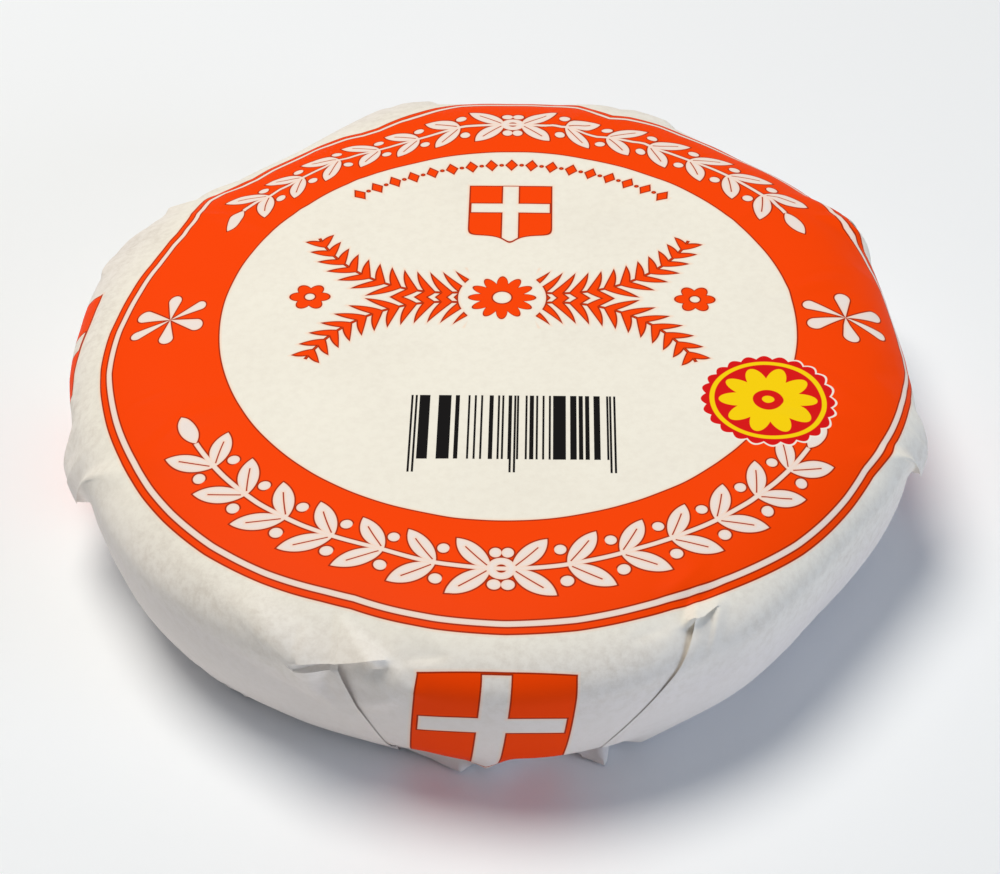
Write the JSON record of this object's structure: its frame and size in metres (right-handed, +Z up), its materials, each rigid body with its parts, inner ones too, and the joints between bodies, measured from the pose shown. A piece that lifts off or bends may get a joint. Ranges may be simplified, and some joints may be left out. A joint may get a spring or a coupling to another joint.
{
  "type": "paper-wrapped reblochon cheese",
  "caption": "Whole soft cheese wheel shut in a pleated printed paper wrap, flat on its base, with a broad coloured ring on top.",
  "frame": {"origin": "on the base, under the middle of the wheel's box", "axes": "+Z is up and is the wheel's thickness; -Y is the side with the printed flag, which faces the viewer"},
  "size_m": [0.1388, 0.146, 0.032],
  "materials": {
    "wrap_paper": "white waxed wrapping paper, softly satin, printed in orange"
  },
  "bodies": {
    "root": {"wrapped_wheel": "wrap_paper"}
  },
  "joints": []
}
